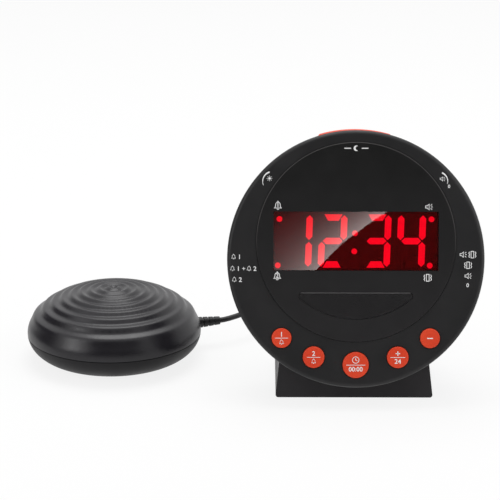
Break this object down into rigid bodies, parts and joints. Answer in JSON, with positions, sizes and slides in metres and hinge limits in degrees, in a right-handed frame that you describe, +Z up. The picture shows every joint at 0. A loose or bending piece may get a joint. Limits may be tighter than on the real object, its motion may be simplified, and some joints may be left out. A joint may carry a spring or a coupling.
{
  "type": "bed shaker alarm clock",
  "caption": "Round leaning digital alarm clock on a wedge stand, with a rippled domed bed shaker on a coiled cord plugged into its back.",
  "frame": {"origin": "on the floor below the middle of the box round the clock and the shaker", "axes": "+X to the right seen from the front, +Y to the back, +Z up; the clock faces -Y"},
  "size_m": [0.257, 0.1463, 0.1461],
  "materials": {
    "case": "fine matte moulded black",
    "inner_panel": "satin black",
    "dark_window": "smoked red, glossy",
    "smoked_lens": "dark smoked, nearly black",
    "button_orange": "satin orange, white print on the front buttons",
    "control_black": "satin black, ribbed",
    "lamp_clear": "clear unlit lamp",
    "lit_red": "lit red",
    "unlit_red": "unlit red",
    "display_black": "matt dark red black",
    "board_green": "lacquered circuit board",
    "part_black": "moulded black",
    "steel": "plated steel",
    "magnet": "ferrite",
    "cone": "coated paper",
    "foot_rubber": "soft matt rubber",
    "cord_black": "smooth flexible cord",
    "weight_brass": "turned brass"
  },
  "bodies": {
    "clock_and_shaker": {"front_bezel": "case", "face_panel": "inner_panel", "display_window": "dark_window", "alert_lens": "smoked_lens", "main_board": "board_green", "board_screws": "steel", "display_module": "display_black", "segments_lit": "lit_red", "segments_dark": "unlit_red", "indicator_dots": "lit_red", "alert_lamps": "lamp_clear", "button_switches": "part_black", "rear_housing": "case", "housing_screws": "steel", "back_cover": "case", "cover_screws": "steel", "base_plate": "case", "base_screws": "steel", "rubber_feet": "foot_rubber", "snooze_board": "board_green", "snooze_switch": "part_black", "snooze_screws": "steel", "dimmer_pot": "part_black", "volume_pot": "part_black", "alarm_switch": "part_black", "mode_switch": "part_black", "battery_contacts": "part_black", "speaker_frame": "steel", "speaker_cone": "cone", "speaker_magnet": "magnet", "dc_inlet": "part_black", "shaker_jack": "part_black", "tone_pot": "part_black", "shaker_dome": "case", "shaker_base": "case", "shaker_pads": "foot_rubber", "shaker_screws": "steel", "shaker_motor": "steel", "motor_clamp": "steel", "clamp_screws": "steel", "strain_relief": "cord_black", "cord_run": "cord_black", "cord_coil": "cord_black", "cord_tail": "cord_black", "shaker_plug": "part_black"},
    "al1_button_body": {"al1_button": "button_orange"},
    "al2_button_body": {"al2_button": "button_orange"},
    "time_button_body": {"time_button": "button_orange"},
    "up_button_body": {"up_button": "button_orange"},
    "down_button_body": {"down_button": "button_orange"},
    "snooze_bar_body": {"snooze_bar": "button_orange"},
    "dimmer_wheel_body": {"dimmer_wheel": "control_black"},
    "volume_wheel_body": {"volume_wheel": "control_black"},
    "alarm_slider_body": {"alarm_slider": "control_black"},
    "mode_slider_body": {"mode_slider": "control_black"},
    "battery_door_body": {"battery_door": "case"},
    "tone_knob_body": {"tone_knob": "control_black"},
    "eccentric_weight_body": {"eccentric_weight": "weight_brass"}
  },
  "joints": [
    {"name": "al1_press", "type": "slide", "parent": "clock_and_shaker", "child": "al1_button_body", "axis": [0, 0.9578, -0.2874], "range_m": [0, 0.0009], "stiffness_N_per_m": 300, "springref_m": -0.0004},
    {"name": "al2_press", "type": "slide", "parent": "clock_and_shaker", "child": "al2_button_body", "axis": [0, 0.9578, -0.2874], "range_m": [0, 0.0009], "stiffness_N_per_m": 300, "springref_m": -0.0004},
    {"name": "time_press", "type": "slide", "parent": "clock_and_shaker", "child": "time_button_body", "axis": [0, 0.9578, -0.2874], "range_m": [0, 0.0009], "stiffness_N_per_m": 300, "springref_m": -0.0004},
    {"name": "up_press", "type": "slide", "parent": "clock_and_shaker", "child": "up_button_body", "axis": [0, 0.9578, -0.2874], "range_m": [0, 0.0009], "stiffness_N_per_m": 300, "springref_m": -0.0004},
    {"name": "down_press", "type": "slide", "parent": "clock_and_shaker", "child": "down_button_body", "axis": [0, 0.9578, -0.2874], "range_m": [0, 0.0009], "stiffness_N_per_m": 300, "springref_m": -0.0004},
    {"name": "snooze_press", "type": "slide", "parent": "clock_and_shaker", "child": "snooze_bar_body", "axis": [0, -0.2874, -0.9578], "range_m": [0, 0.0015], "stiffness_N_per_m": 400, "springref_m": -0.0006},
    {"name": "dimmer_turn", "type": "hinge", "parent": "clock_and_shaker", "child": "dimmer_wheel_body", "pos_m": [0.01559, -0.01339, 0.10833], "axis": [0, -0.9578, 0.2874], "range_deg": [-135, 135]},
    {"name": "volume_turn", "type": "hinge", "parent": "clock_and_shaker", "child": "volume_wheel_body", "pos_m": [0.10054, -0.01307, 0.10939], "axis": [0, -0.9578, 0.2874], "range_deg": [-135, 135]},
    {"name": "tone_turn", "type": "hinge", "parent": "clock_and_shaker", "child": "tone_knob_body", "pos_m": [0.09655, 0.00087, 0.07409], "axis": [0, 0.9578, -0.2874], "range_deg": [-135, 135]},
    {"name": "alarm_select", "type": "slide", "parent": "clock_and_shaker", "child": "alarm_slider_body", "axis": [-0.0906, 0.2862, 0.9539], "range_m": [-0.008, 0]},
    {"name": "mode_select", "type": "slide", "parent": "clock_and_shaker", "child": "mode_slider_body", "axis": [0.0906, 0.2862, 0.9539], "range_m": [-0.012, 0]},
    {"name": "battery_door_hinge", "type": "hinge", "parent": "clock_and_shaker", "child": "battery_door_body", "pos_m": [0.05855, -0.01644, 0.03003], "axis": [-1, 0, 0], "range_deg": [0, 75]},
    {"name": "weight_spin", "type": "hinge", "parent": "clock_and_shaker", "child": "eccentric_weight_body", "pos_m": [-0.06275, 0.01471, 0.0172], "axis": [1, 0, 0], "continuous": true}
  ]
}
